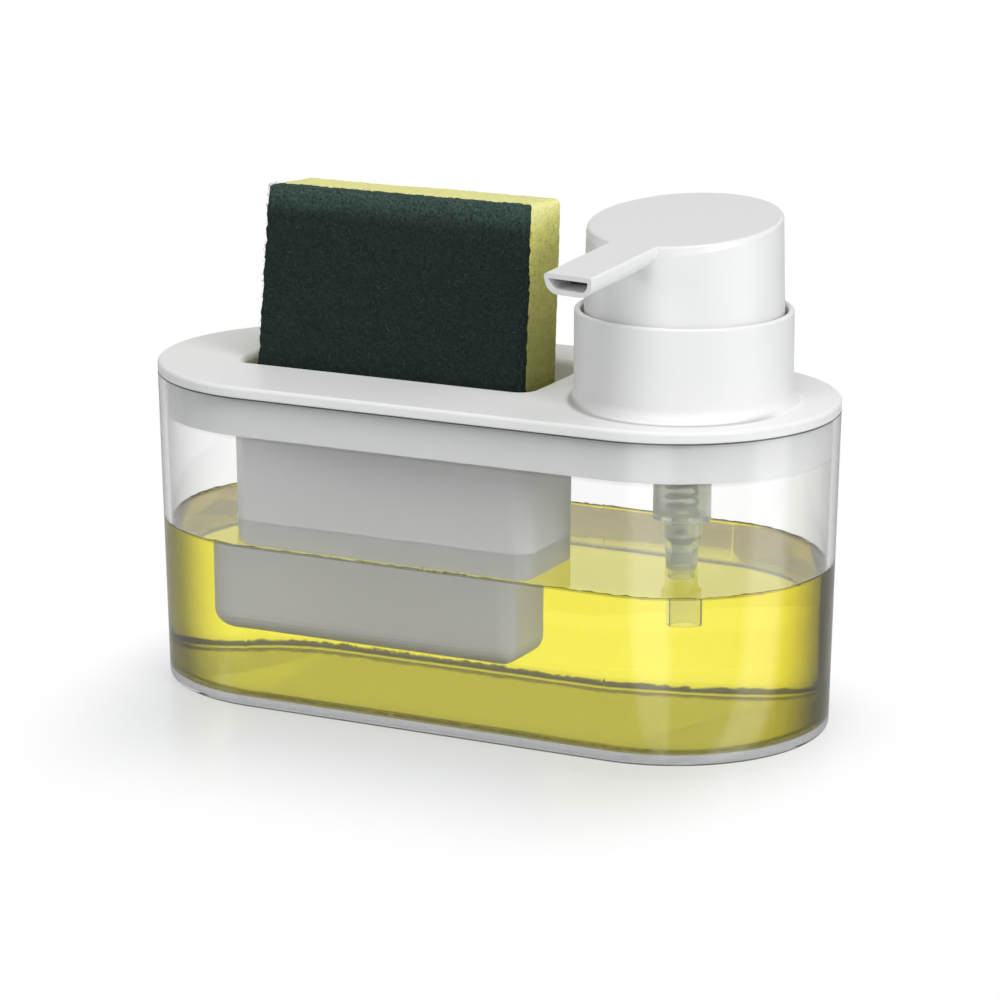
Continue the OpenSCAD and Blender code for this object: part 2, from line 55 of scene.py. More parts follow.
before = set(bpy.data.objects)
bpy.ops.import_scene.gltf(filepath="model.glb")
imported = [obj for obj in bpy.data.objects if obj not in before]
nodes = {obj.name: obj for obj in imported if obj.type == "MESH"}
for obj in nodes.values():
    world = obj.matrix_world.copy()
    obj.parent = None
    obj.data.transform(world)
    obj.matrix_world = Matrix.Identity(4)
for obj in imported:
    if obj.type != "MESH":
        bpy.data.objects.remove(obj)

MM = 0.001

tank_low, tank_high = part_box("tank")
_, soap_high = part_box("soap")
foam_low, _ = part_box("sponge_foam")
pad_low, pad_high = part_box("scour_pad")

TANK_WALL = 2.0 * MM
TANK_DRAFT = 1.7 * MM
TANK_FLOOR = 2.5 * MM
FLOOR_EDGE_R = 3.0 * MM
TANK_R = (tank_high.y - tank_low.y) / 2
STRAIGHT_HALF = (tank_high.x - tank_low.x) / 2 - TANK_R

LID_TOP = tank_high.z + 3.0 * MM
SKIRT_FOOT = tank_high.z - 11.0 * MM
PUMP_AXIS = Vector((56.0, -3.0)) * MM
POCKET_FLOOR = 17.5 * MM
POCKET_WALL = 1.8 * MM
POCKET_CORNER_R = 3.8 * MM
POCKET_DRAFT = 0.6 * MM
POCKET_CENTRE = Vector((-25.85, -1.3)) * MM
POCKET_HALF = Vector((86.2, 27.0)) * MM / 2
POCKET_FLOOR_EDGE_R = 4.8 * MM

# Middle and radius of the painted shade line on the lid in front of the turret's foot
TURRET_SHADE_MIDDLE = PUMP_AXIS + Vector((1.0, -3.6)) * MM
TURRET_SHADE_R = 28.1 * MM

# The soap goes a little way into both walls, so that no air shows between them
SOAP_LEVEL = soap_high.z + 1.6 * MM
SOAP_INTO_TANK = 0.15 * MM
SOAP_INTO_POCKET = 0.5 * MM
# Distance from a wall in mm, and the share of its full climb that the soap has there
CLIMB_STEPS = ((0, 1.0), (0.35, 0.52), (0.9, 0.2), (1.7, 0.05), (2.8, 0.0))

FOAM_DEPTH = 18.4 * MM
FOAM_STEP = 0.7 * MM
FOAM_EDGE_R = 1.8 * MM
PAD_STEP = 0.65 * MM
PAD_EDGE_R = 0.7 * MM
SPONGE_TAPER = 5.8 * MM
SPONGE_LEAN = math.radians(3.8)
SPONGE_BEND = 6 * MM
SPONGE_TOP = LID_TOP + (pad_high.z - LID_TOP) / math.cos(SPONGE_LEAN)

FLOOR_R = 3.0
# Light strips that only gloss sees in the floor: centre, angles and soft edge in degrees
STRIP_CENTRE = Vector((68.0, -37.0)) * MM
STRIPS = ((-8, 23), (84, 112))
STRIP_EDGE = 6
# Name, place, size and watts of the soft lamps, which all aim at one point
LAMPS = (
    ("key_lamp", (1.40, -0.62, 0.62), (0.6, 0.8), 14.0),
    ("fill_lamp", (-1.1, -0.9, 0.5), (0.4, 0.5), 4.7),
    ("top_lamp", (0.30, -0.50, 1.25), (0.9, 0.6), 8.2),
    ("rear_lamp", (-0.45, 1.30, 0.26), (0.8, 0.5), 4.6),
)
LAMP_AIM = Vector((0, 0, 0.06))
CAMERA_AZIMUTH = math.radians(26.68)
CAMERA_ELEVATION = math.radians(17.06)
CAMERA_DISTANCE = 1.07027
CAMERA_AIM = Vector((1.77, 0.89, 53.12)) * MM

WHITE = (1, 1, 1, 1)


# Small builders


def new_mesh(name, bm):
    """Turns a bmesh into a mesh."""
    mesh = bpy.data.meshes.new(name)
    bm.to_mesh(mesh)
    bm.free()
    return mesh


def new_object(name, bm, material):
    """Turns a bmesh into an object at the origin with smooth faces."""
    mesh = new_mesh(name, bm)
    for face in mesh.polygons:
        face.use_smooth = True
    made = bpy.data.objects.new(name, mesh)
    bpy.context.scene.collection.objects.link(made)
    mesh.materials.append(material)
    return made


def dress(node_name, material):
    """Gives a solid of the frame its finish."""
    mesh = nodes[node_name].data
    mesh.materials.clear()
    mesh.materials.append(material)


def stamp(bm, mesh, move):
    """Adds a copy of a small mesh to a bmesh, moved to its place."""
    mesh.transform(move)
    bm.from_mesh(mesh)
    mesh.transform(move.inverted())


def oval_ring(bm, radius, half, centre, z, steps, cuts):
    """A closed ring: a circle with its quarters moved apart by half, its straight runs cut."""
    turn = Matrix.Rotation(math.pi / steps, 4, "Z")
    verts = bmesh.ops.create_circle(bm, segments=steps, radius=radius, matrix=turn)["verts"]
    signs = {v: (math.copysign(1, v.co.x), math.copysign(1, v.co.y)) for v in verts}
    for side in set(signs.values()):
        quarter = [v for v in verts if signs[v] == side]
        bmesh.ops.translate(bm, verts=quarter, vec=(side[0] * half[0], side[1] * half[1], 0))
    edges = list({e for v in verts for e in v.link_edges})
    runs = [
        [e for e in edges if signs[e.verts[0]][axis] != signs[e.verts[1]][axis]]
        for axis in range(2)
    ]
    for run, gap, count in zip(runs, half, cuts):
        if gap > 0 and count:
            bmesh.ops.subdivide_edges(bm, edges=run, cuts=count)
    ring = [v for v in bm.verts if not v.tag and not v.link_faces and v.co.z == 0]
    for v in ring:
        v.co.x += centre[0]
        v.co.y += centre[1]
        v.co.z = z
        v.tag = True
    return list({e for v in ring for e in v.link_edges})


def loft(bm, rings):
    """Bridges a run of rings and closes the first of them."""
    for a, b in zip(rings, rings[1:]):
        bmesh.ops.bridge_loops(bm, edges=a + b)
    bmesh.ops.contextual_create(bm, geom=rings[0])


def grid_block(low, high, step):
    """A box whose faces are cut into even squares of about step."""
    bm = bmesh.new()
    bmesh.ops.create_cube(bm, size=1)
    size = high - low
    bmesh.ops.scale(bm, vec=size, verts=bm.verts)
    bmesh.ops.translate(bm, vec=(low + high) / 2, verts=bm.verts)
    for axis in range(3):
        edges = [
            e
            for e in bm.edges
            if abs((e.verts[0].co - e.verts[1].co)[axis]) > 0.9 * size[axis]
        ]
        cuts = max(1, round(size[axis] / step) - 1)
        bmesh.ops.subdivide_edges(bm, edges=edges, cuts=cuts, use_grid_fill=True)
    return bm


# Node helpers


def fill(tree, node, **inputs):
    """Gives a node's inputs, by their names or as i0, i1 and so on, a value or a link."""
    for key, value in inputs.items():
        numbered = key[0] == "i" and key[1:].isdigit()
        socket = node.inputs[int(key[1:]) if numbered else key.replace("_", " ")]
        if isinstance(value, bpy.types.NodeSocket):
            tree.links.new(value, socket)
        else:
            socket.default_value = value
    return node


def add(tree, kind, options=None, **inputs):
    """Adds a node, sets its options and fills its inputs."""
    made = tree.nodes.new(kind)
    for key, value in (options or {}).items():
        setattr(made, key, value)
    return fill(tree, made, **inputs)


def maths(tree, operation, *values, clamp=False):
    """The result of a math node on up to three values or links."""
    inputs = {f"i{index}": value for index, value in enumerate(values)}
    options = {"operation": operation, "use_clamp": clamp}
    return add(tree, "ShaderNodeMath", options, **inputs).outputs[0]


def split(tree, vector):
    """The X, Y and Z of a vector."""
    return add(tree, "ShaderNodeSeparateXYZ", i0=vector).outputs


def span(tree, vector):
    """The length of a vector."""
    return add(tree, "ShaderNodeVectorMath", {"operation": "LENGTH"}, i0=vector).outputs["Value"]


def ramp(tree, value, start, stop, low, high):
    """A smooth step of a value from low to high."""
    return add(
        tree,
        "ShaderNodeMapRange",
        {"interpolation_type": "SMOOTHSTEP"},
        Value=value,
        From_Min=start,
        From_Max=stop,
        To_Min=low,
        To_Max=high,
    ).outputs[0]


def blend(tree, factor, low, high):
    """The mix of two colours."""
    return add(tree, "ShaderNodeMix", {"data_type": "RGBA"}, i0=factor, i6=low, i7=high).outputs[2]


def clouds(tree, where, scale, detail, **inputs):
    """The value of a noise."""
    return add(
        tree, "ShaderNodeTexNoise", Vector=where, Scale=scale, Detail=detail, **inputs
    ).outputs["Fac"]


def relief(tree, height, strength, distance):
    """A normal bumped by a height."""
    return add(
        tree, "ShaderNodeBump", Strength=strength, Distance=distance, Height=height
    ).outputs["Normal"]


def mix_surface(tree, factor, first, second):
    """Makes the mix of two shaders the surface of a material."""
    mix = add(tree, "ShaderNodeMixShader", i0=factor, i1=first.outputs[0], i2=second.outputs[0])
    fill(tree, tree.nodes["Material Output"], Surface=mix.outputs[0])


def new_group(name, inputs, outputs):
    """An empty shader node group with named sockets, and its two end nodes."""
    tree = bpy.data.node_groups.new(name, "ShaderNodeTree")
    for label, kind, value in inputs:
        socket = tree.interface.new_socket(label, in_out="INPUT", socket_type=kind)
        if value is not None:
            socket.default_value = value
    for label, kind in outputs:
        tree.interface.new_socket(label, in_out="OUTPUT", socket_type=kind)
    return tree, tree.nodes.new("NodeGroupInput").outputs, tree.nodes.new("NodeGroupOutput").inputs


def moulded_skin():
    """Fine moulded grain: a roughness that drifts a little and a shallow bump."""
    name = "moulded_skin"
    if name in bpy.data.node_groups:
        return bpy.data.node_groups[name]
    tree, given, out = new_group(
        name,
        [
            ("Vector", "NodeSocketVector", None),
            ("Grain", "NodeSocketFloat", 900.0),
            ("Depth", "NodeSocketFloat", 0.05),
            ("Roughness", "NodeSocketFloat", 0.35),
            ("Drift", "NodeSocketFloat", 0.05),
        ],
        [("Roughness", "NodeSocketFloat"), ("Normal", "NodeSocketVector")],
    )
    fine = clouds(tree, given["Vector"], given["Grain"], 3.0)
    broad = maths(tree, "SUBTRACT", clouds(tree, given["Vector"], 45.0, 2.0), 0.5)
    drifting = maths(tree, "MULTIPLY_ADD", broad, given["Drift"], given["Roughness"])
    tree.links.new(drifting, out["Roughness"])
    tree.links.new(relief(tree, fine, given["Depth"], 0.2 * MM), out["Normal"])
    return tree


def mottle():
    """Two colours mixed by cloudy patches, with a mask for other uses."""
    name = "mottle"
    if name in bpy.data.node_groups:
        return bpy.data.node_groups[name]
    tree, given, out = new_group(
        name,
        [
            ("Vector", "NodeSocketVector", None),
            ("Size", "NodeSocketFloat", 200.0),
            ("Low", "NodeSocketColor", (0.5, 0.5, 0.5, 1)),
            ("High", "NodeSocketColor", (0.8, 0.8, 0.8, 1)),
            ("Contrast", "NodeSocketFloat", 1.0),
        ],
        [("Color", "NodeSocketColor"), ("Mask", "NodeSocketFloat")],
    )
    patches = clouds(tree, given["Vector"], given["Size"], 5.0, Roughness=0.6)
    centred = maths(tree, "SUBTRACT", patches, 0.5)
    mask = maths(tree, "MULTIPLY_ADD", centred, given["Contrast"], 0.5, clamp=True)
    tree.links.new(blend(tree, mask, given["Low"], given["High"]), out["Color"])
    tree.links.new(mask, out["Mask"])
    return tree


def skinned(tree, where, **inputs):
    """The outputs of a moulded skin with these inputs."""
    options = {"node_tree": moulded_skin()}
    return add(tree, "ShaderNodeGroup", options, Vector=where, **inputs).outputs


def mottled(tree, where, **inputs):
    """The outputs of a mottle with these inputs."""
    return add(tree, "ShaderNodeGroup", {"node_tree": mottle()}, Vector=where, **inputs).outputs


def new_material(name, **inputs):
    """A material, its tree, its Principled shader with these inputs, and object coordinates."""
    mat = bpy.data.materials.new(name)
    mat.use_nodes = True
    tree = mat.node_tree
    shader = fill(tree, tree.nodes["Principled BSDF"], **inputs)
    where = add(tree, "ShaderNodeTexCoord").outputs["Object"]
    return mat, tree, shader, where


def plastic(name, low, high, roughness, grain=1400.0, drift=0.06, clear=0.0, ior=1.46):
    """Moulded plastic with a fine skin; clear is the share of light it lets through."""
    mat, tree, shader, where = new_material(name, Transmission_Weight=clear, IOR=ior)
    skin = skinned(tree, where, Grain=grain, Depth=0.06, Roughness=roughness, Drift=drift)
    patches = mottled(tree, where, Size=60.0, Low=(*low, 1), High=(*high, 1))
    fill(tree, shader, Roughness=skin["Roughness"], Normal=skin["Normal"])
    fill(tree, shader, Base_Color=patches["Color"])
    return mat


def steel(name, roughness, tone):
    """Bright steel with a fine skin."""
    mat, tree, shader, where = new_material(
        name, Base_Color=(tone, tone, tone * 1.03, 1), Metallic=1.0
    )
    skin = skinned(tree, where, Grain=3000.0, Depth=0.04, Roughness=roughness)
    fill(tree, shader, Roughness=skin["Roughness"], Normal=skin["Normal"])
    return mat


def toned(colour, share):
    """A darker or lighter tone of a colour."""
    return (*[min(1, c * share) for c in colour], 1)


def lamp_pass(mat, colour):
    """Lets light from the lamps through a clear material, tinted by colour."""
    tree = mat.node_tree
    shadow = add(tree, "ShaderNodeLightPath").outputs["Is Shadow Ray"]
    clear = add(tree, "ShaderNodeBsdfTransparent", Color=(*colour, 1))
    mix_surface(tree, shadow, tree.nodes["Principled BSDF"], clear)


def looks_at(tree):
    """Masks for the rays that look at the surroundings: straight, in gloss, through clear pieces,
    or as light that was already counted on its way in."""
    path = add(tree, "ShaderNodeLightPath").outputs
    first = maths(tree, "LESS_THAN", path["Diffuse Depth"], 0.5)
    later = maths(tree, "SUBTRACT", 1.0, first)
    through = path["Is Transmission Ray"]
    gloss = maths(tree, "GREATER_THAN", path["Is Glossy Ray"], through)
    return {
        "camera": path["Is Camera Ray"],
        "gloss": maths(tree, "MULTIPLY", gloss, first),
        "through": maths(tree, "MULTIPLY", through, first),
        "counted": maths(tree, "MULTIPLY", through, later),
    }


# Sizes and colours that a user would change


class CaddySettings(bpy.types.PropertyGroup):
    """Colours and sizes of the caddy's finishes."""

    tank_tint: bpy.props.FloatVectorProperty(
        name="Tank tint", description="Colour of the clear tank", subtype="COLOR", size=3,
        min=0, max=1, default=(0.985, 0.99, 0.988),
    )
    soap_colour: bpy.props.FloatVectorProperty(
        name="Soap colour", description="Colour that the soap gives the light through it",
        subtype="COLOR", size=3, min=0, max=1, default=(1.0, 0.86, 0.001),
    )
    soap_strength: bpy.props.FloatProperty(
        name="Soap strength", description="How strongly the soap colours light, for each metre",
        min=0, max=200, default=5.0,
    )
    meniscus: bpy.props.FloatProperty(
        name="Meniscus", description="Height that the soap climbs at the walls", min=0, max=0.003,
        default=0.5 * MM, unit="LENGTH",
    )
    bubbles: bpy.props.IntProperty(
        name="Bubbles", description="Number of small bubbles along the soap's edge",
        min=0, max=400, default=140,
    )
    white_low: bpy.props.FloatVectorProperty(
        name="White, darker", description="Darker tone of the white plastic", subtype="COLOR",
        size=3, min=0, max=1, default=(0.785, 0.785, 0.785),
    )
    white_high: bpy.props.FloatVectorProperty(
        name="White, lighter", description="Lighter tone of the white plastic", subtype="COLOR",
        size=3, min=0, max=1, default=(0.80, 0.80, 0.80),
    )
    foam_colour: bpy.props.FloatVectorProperty(
        name="Foam colour", description="Colour of the sponge's foam", subtype="COLOR", size=3,
        min=0, max=1, default=(0.90, 0.88, 0.27),
    )
    pad_colour: bpy.props.FloatVectorProperty(
        name="Pad colour", description="Colour of the scouring pad", subtype="COLOR", size=3,
        min=0, max=1, default=(0.0125, 0.0215, 0.0185),
    )
    fibres: bpy.props.IntProperty(
        name="Fibres", description="Number of loose fibres on the scouring pad",
        min=0, max=9000, default=5200,
    )
    floor_colour: bpy.props.FloatVectorProperty(
        name="Floor colour", description="Colour of the studio floor", subtype="COLOR", size=3,
        min=0, max=1, default=(0.70, 0.72, 0.73),
    )


def settings():
    """The settings held by the scene."""
    return bpy.context.scene.caddy_settings


# The pieces


class CADDY_OT_tank(bpy.types.Operator):
    """Clear moulded tank with faint flow marks in its walls"""

    bl_idname = "caddy.tank"
    bl_label = "Tank"

    def execute(self, context):
        mat, tree, shader, where = new_material(
            "clear_moulding", Roughness=0.0, IOR=1.47, Transmission_Weight=1.0
        )
        height = split(tree, where)["Z"]
        # Painted shade: the glass darkens towards its edges, where the wall turns away
        facing = add(tree, "ShaderNodeLayerWeight", Blend=0.5).outputs["Facing"]
        edge = maths(tree, "POWER", facing, 2.0)
        # Painted shade: the wall is also darker over the lid's skirt and in a thin line at its own
        # rim
        skirt_shade = ramp(tree, height, SKIRT_FOOT - 0.4 * MM, SKIRT_FOOT + 0.4 * MM, 0.0, 0.16)
        rim_shade = ramp(tree, height, tank_high.z - 0.35 * MM, tank_high.z - 0.1 * MM, 0.0, 1.0)
        shaded = maths(tree, "MAXIMUM", maths(tree, "MAXIMUM", edge, skirt_shade), rim_shade)
        body = blend(tree, shaded, (*settings().tank_tint, 1), (0.10, 0.10, 0.095, 1))
        flow = relief(tree, clouds(tree, where, 38.0, 2.0), 0.05, 0.4 * MM)
        fill(tree, shader, Base_Color=body, Normal=flow)
        lamp_pass(mat, (0.97, 0.975, 0.972))
        dress("tank", mat)
        return {"FINISHED"}


def soap_wall_r(z):
    """Radius of the soap in the tank's round ends at a height."""
    return TANK_R - TANK_DRAFT * (1 - z / tank_high.z) - TANK_WALL + SOAP_INTO_TANK


def pocket_wall_r(z):
    """Corner radius of the hollow that the pocket makes in the soap at a height."""
    lean = POCKET_DRAFT * (LID_TOP - z) / (LID_TOP - POCKET_FLOOR)
    return POCKET_CORNER_R - lean + POCKET_WALL - SOAP_INTO_POCKET


def rounded_rings(make_ring, radius_at, foot, edge_r, steps):
    """Rings up a rounded lower edge; make_ring takes a radius and a height."""
    rings = []
    for i in range(steps):
        turn = math.pi / 2 * i / (steps - 1)
        z = foot + edge_r * (1 - math.cos(turn))
        rings.append(make_ring(max(radius_at(z) - edge_r * (1 - math.sin(turn)), 0.4 * MM), z))
    return rings


def climbing_rings(make_ring, radius, side, meniscus, seed):
    """Rings in the soap's surface away from a wall, raised unevenly as the soap climbs it."""
    rings = []
    for away, share in CLIMB_STEPS:
        ring = make_ring(radius + side * away * MM, SOAP_LEVEL)
        for v in {v for e in ring for v in e.verts}:
            p = Vector((v.co.x, v.co.y, seed)) * 420
            uneven = 1 + 0.5 * noise.noise(p) + 0.35 * noise.noise(p * 3.1)
            v.co.z = SOAP_LEVEL + share * meniscus * uneven
        rings.append(ring)
    return rings


def soap_form(meniscus):
    """The soap's body with its rounded foot, its climbing edges and the hollow of the pocket."""
    bm = bmesh.new()
    corner = (POCKET_HALF.x - POCKET_CORNER_R, POCKET_HALF.y - POCKET_CORNER_R)

    def tank_ring(radius, z):
        return oval_ring(bm, radius, (STRAIGHT_HALF, 0), (0, 0), z, 160, (90, 0))

    def pocket_ring(radius, z):
        return oval_ring(bm, radius, corner, POCKET_CENTRE, z, 64, (64, 26))

    foot = TANK_FLOOR - SOAP_INTO_TANK
    edge = soap_wall_r(SOAP_LEVEL)
    outer = rounded_rings(tank_ring, soap_wall_r, foot, FLOOR_EDGE_R, 7)
    outer.append(tank_ring(soap_wall_r(SOAP_LEVEL / 2), SOAP_LEVEL / 2))
    outer.append(tank_ring(edge, SOAP_LEVEL + 0.01 * MM))
    outer += climbing_rings(tank_ring, edge, -1, meniscus, 0.011)
    loft(bm, outer)

    foot = POCKET_FLOOR - POCKET_WALL + SOAP_INTO_POCKET
    edge_r = POCKET_FLOOR_EDGE_R - SOAP_INTO_POCKET
    inner = rounded_rings(pocket_ring, pocket_wall_r, foot, edge_r, 6)
    inner += climbing_rings(pocket_ring, pocket_wall_r(SOAP_LEVEL), 1, 0.7 * meniscus, 0.037)
    loft(bm, inner)
    bmesh.ops.triangle_fill(bm, use_beauty=True, edges=outer[-1] + inner[-1])
    bmesh.ops.recalc_face_normals(bm, faces=bm.faces)
    return bm


def yellow_soap(colour, strength):
    """Soap whose yellow sits in its rear, its ends and its foot, so that its front stays clear; its
    dark lines and edges are painted shade.
    """
    mat, tree, shader, where = new_material(
        "yellow_soap", Roughness=0.0, IOR=1.36, Transmission_Weight=1.0
    )
    place = split(tree, where)
    along = maths(tree, "MINIMUM", place["X"], STRAIGHT_HALF)
    along = maths(tree, "MAXIMUM", along, -STRAIGHT_HALF)
    beyond = maths(tree, "SUBTRACT", place["X"], along)
    radius = span(tree, add(tree, "ShaderNodeCombineXYZ", i0=beyond, i1=place["Y"]).outputs[0])
    at_tank = ramp(tree, radius, 28 * MM, 32 * MM, 0.0, 1.0)
    foot = ramp(tree, place["Z"], 2.5 * MM, 3.5 * MM, 1.0, 0.0)
    rear = maths(tree, "MULTIPLY_ADD", beyond, -0.5, place["Y"])
    rear = maths(tree, "MULTIPLY", ramp(tree, rear, 1 * MM, 14 * MM, 0.0, 1.0), at_tank)
    ends = ramp(tree, maths(tree, "ABSOLUTE", beyond), 27 * MM, 38 * MM, 0.0, 0.9)
    tinted = maths(tree, "MAXIMUM", maths(tree, "MAXIMUM", rear, ends), foot)
    tint_and_shade = blend(tree, tinted, WHITE, (*colour, 1))

    # Painted shade: a ragged dark line along the foot
    ragged = clouds(tree, where, 420.0, 4.0, Roughness=0.7)
    height = maths(tree, "MULTIPLY_ADD", ragged, -2.4 * MM, place["Z"])
    under = ramp(tree, height, 3.0 * MM, 2.4 * MM, 0.0, 1.0)
    above = ramp(tree, place["Z"], 2.4 * MM, 2.8 * MM, 0.0, 1.0)
    shade = blend(tree, rear, (0.26, 0.23, 0.02, 1), (0.02, 0.018, 0.002, 1))
    tint_and_shade = blend(tree, maths(tree, "MULTIPLY", under, above), tint_and_shade, shade)

    # Painted shade: dark upright edges, where the wall turns away
    facing = add(tree, "ShaderNodeLayerWeight", Blend=0.5).outputs["Facing"]
    normal = split(tree, add(tree, "ShaderNodeNewGeometry").outputs["Normal"])
    level_part = ramp(tree, maths(tree, "ABSOLUTE", normal["Z"]), 0.3, 0.8, 0.0, 1.0)
    upright_shade = ramp(tree, facing, 0.10, 0.25, 0.0, 0.93)
    upright_shade = maths(tree, "MULTIPLY", upright_shade, maths(tree, "SUBTRACT", 1.0, level_part))
    upright_shade = maths(tree, "MULTIPLY", upright_shade, maths(tree, "MULTIPLY_ADD", rear, -0.8, 1.0))
    tint_and_shade = blend(tree, upright_shade, tint_and_shade, (0.05, 0.046, 0.006, 1))

    # Painted shade: a grey line where the surface meets the tank
    edge = soap_wall_r(SOAP_LEVEL)
    surface = ramp(tree, place["Z"], SOAP_LEVEL - 0.35 * MM, SOAP_LEVEL - 0.15 * MM, 0.0, 0.75)
    outer = ramp(tree, radius, edge - 1.2 * MM, edge - 0.8 * MM, 0.0, 1.0)
    tint_and_shade = blend(tree, maths(tree, "MULTIPLY", surface, outer), tint_and_shade, (0.20, 0.19, 0.10, 1))

    ripple = relief(tree, clouds(tree, where, 60.0, 3.0), 0.06, 0.6 * MM)
    fill(tree, shader, Base_Color=tint_and_shade, Normal=ripple)
    lamp_pass(mat, (0.39, 0.40, 0.48))
    absorb = add(
        tree, "ShaderNodeVolumeAbsorption", Color=(0.93, 0.86, 0.30, 1), Density=strength
    )
    fill(tree, tree.nodes["Material Output"], Volume=absorb.outputs[0])
    return mat


def froth(count):
    """Small bubbles at the soap's edge: nearly half along the front, the rest round both ends."""
    spread = random.Random(11)
    ball = bmesh.new()
    bmesh.ops.create_icosphere(ball, subdivisions=2, radius=1)
    drop = new_mesh("drop", ball)
    bm = bmesh.new()
    edge = soap_wall_r(SOAP_LEVEL) - SOAP_INTO_TANK
    for _ in range(count):
        radius = spread.uniform(0.18, 0.42) * MM
        run = spread.random()
        reach = edge - radius * 1.05
        if run < 0.45:
            x = spread.gauss(8, 12) * MM
            place = Vector((max(min(x, STRAIGHT_HALF), -STRAIGHT_HALF), -reach))
        else:
            side = 1 if run < 0.75 else -1
            turn = spread.uniform(-math.pi / 2, math.pi / 2)
            x = side * (STRAIGHT_HALF + reach * math.cos(turn))
            place = Vector((x, reach * math.sin(turn)))
        z = SOAP_LEVEL + spread.uniform(-0.1, 0.7) * MM
        stamp(bm, drop, Matrix.Translation((place.x, place.y, z)) @ Matrix.Scale(radius, 4))
    bpy.data.meshes.remove(drop)
    return bm


class CADDY_OT_soap(bpy.types.Operator):
    """Yellow liquid soap that wets the walls and climbs a little at its edge, with small bubbles"""

    bl_idname = "caddy.soap"
    bl_label = "Soap"

    def execute(self, context):
        s = settings()
        liquid = yellow_soap(s.soap_colour, s.soap_strength)
        soap = new_object("soap_body", soap_form(s.meniscus), liquid)
        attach(soap, "base")
        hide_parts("soap")

        film = new_material(
            "soap_bubble",
            Base_Color=(0.97, 0.97, 0.86, 1),
            Roughness=0.02,
            IOR=1.33,
            Transmission_Weight=1.0,
        )[0]
        lamp_pass(film, (0.9, 0.9, 0.8))
        bubbles = new_object("soap_bubbles", froth(s.bubbles), film)
        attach(bubbles, "base")
        return {"FINISHED"}


class CADDY_OT_lid(bpy.types.Operator):
    """Satin white lid with its pocket and turret, and the nut and gasket inside the turret"""

    bl_idname = "caddy.lid"
    bl_label = "Lid"

    def execute(self, context):
        s = settings()
        white = plastic("satin_white", s.white_low, s.white_high, 0.42, drift=0.02)
        tree = white.node_tree
        shader = fill(tree, tree.nodes["Principled BSDF"], Specular_IOR_Level=0.35)
        where = add(tree, "ShaderNodeTexCoord").outputs["Object"]
        place = split(tree, where)

        # Painted light: the plate's flat top is lighter than the rest
        plain = shader.inputs["Base Color"].links[0].from_socket
        top = ramp(tree, place["Z"], LID_TOP - 0.4 * MM, LID_TOP - 0.1 * MM, 0.0, 1.0)
        flush = ramp(tree, place["Z"], LID_TOP + 0.1 * MM, LID_TOP + 0.5 * MM, 1.0, 0.0)
        plain = blend(tree, maths(tree, "MULTIPLY", top, flush), plain, (0.89, 0.89, 0.89, 1))

        # Painted shade: a dark arc in front of the turret's foot
        away = add(
            tree,
            "ShaderNodeVectorMath",
            {"operation": "SUBTRACT"},
            i0=where,
            i1=(*TURRET_SHADE_MIDDLE, 0),
        )
        flat = add(
            tree,
            "ShaderNodeVectorMath",
            {"operation": "MULTIPLY"},
            i0=away.outputs[0],
            i1=(1, 1, 0),
        )
        radius = span(tree, flat.outputs[0])
        inside = ramp(tree, radius, TURRET_SHADE_R - 1.7 * MM, TURRET_SHADE_R - 0.1 * MM, 0.0, 0.6)
        outside = ramp(tree, radius, TURRET_SHADE_R + 0.1 * MM, TURRET_SHADE_R + 1.5 * MM, 1.0, 0.0)
        low = ramp(tree, place["Z"], LID_TOP + 0.6 * MM, LID_TOP + 2 * MM, 1.0, 0.0)
        ahead = ramp(tree, place["Y"], PUMP_AXIS.y - 16 * MM, PUMP_AXIS.y - 4 * MM, 1.0, 0.0)
        line = maths(tree, "MULTIPLY", inside, outside)
        line = maths(tree, "MULTIPLY", line, maths(tree, "MULTIPLY", low, ahead))
        fill(tree, shader, Base_Color=blend(tree, line, plain, (0.25, 0.25, 0.25, 1)))
        dress("lid", white)
        dress("closure_nut", plastic("ribbed_white", (0.70, 0.70, 0.70), (0.75, 0.75, 0.75), 0.4))
        rubber = plastic("seal_rubber", (0.55, 0.55, 0.54), (0.62, 0.62, 0.61), 0.7, grain=2200.0)
        dress("pump_gasket", rubber)
        return {"FINISHED"}


class CADDY_OT_head(bpy.types.Operator):
    """Satin white press-down head with its spout, the duct in the spout, the stem and the rod"""

    bl_idname = "caddy.head"
    bl_label = "Pump head"

    def execute(self, context):
        s = settings()
        dress("head_shell", plastic("head_white", s.white_low, s.white_high, 0.3, drift=0.02))
        # The duct is near black: its own dark tone, deepened as painted shade in the spout's mouth
        dress("nozzle_duct", plastic("duct_dark_shaded", (0.06, 0.06, 0.06), (0.09, 0.09, 0.09), 0.5))
        dress("stem", plastic("stem_white", (0.68, 0.69, 0.68), (0.74, 0.75, 0.74), 0.35))
        dress("piston_rod", plastic("rod_white", (0.68, 0.69, 0.68), (0.74, 0.75, 0.74), 0.4))
        return {"FINISHED"}


